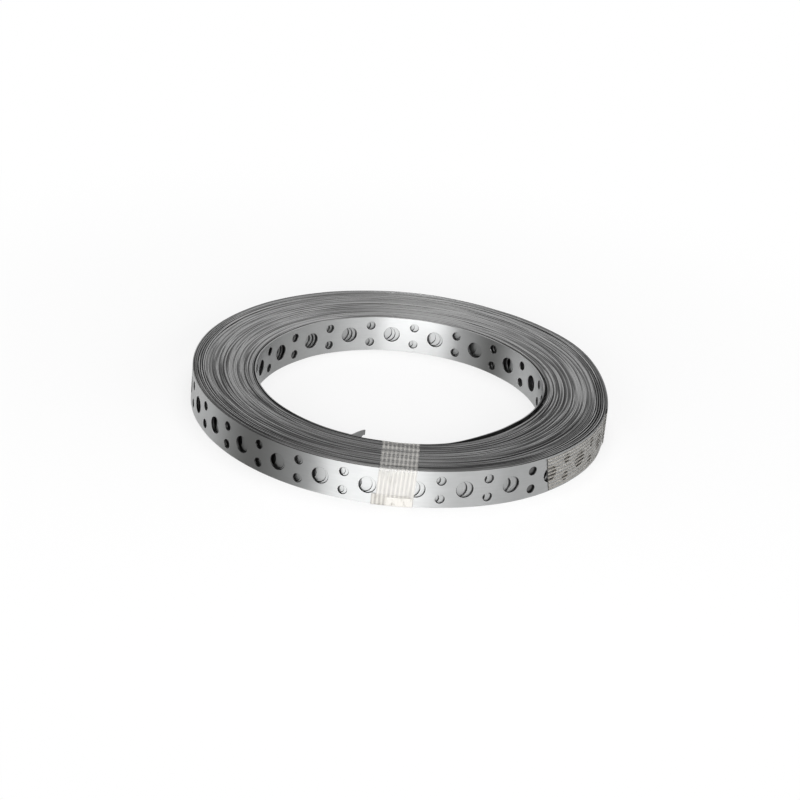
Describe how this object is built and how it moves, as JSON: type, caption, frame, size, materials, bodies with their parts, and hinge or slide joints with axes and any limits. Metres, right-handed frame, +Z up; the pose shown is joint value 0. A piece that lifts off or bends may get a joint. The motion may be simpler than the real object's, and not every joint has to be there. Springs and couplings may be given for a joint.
{
  "type": "roll of perforated metal strap",
  "caption": "Flat-lying coil of galvanised steel strap with alternating large and paired small holes, tied by clear strand tape.",
  "frame": {"origin": "on the axis of the coil, in the plane of its lower face", "axes": "+Z up along the axis of the coil, across the width of the strap; -Y towards the tape tie that goes round all the turns; +X towards the taped outer end"},
  "size_m": [0.2239, 0.2239, 0.0203],
  "materials": {
    "galvanised_steel": "bright galvanised",
    "clear_tape": "translucent film with glass strands"
  },
  "bodies": {
    "root": {"strap_roll": "galvanised_steel", "tie_tape": "clear_tape", "end_tape": "clear_tape"}
  },
  "joints": []
}
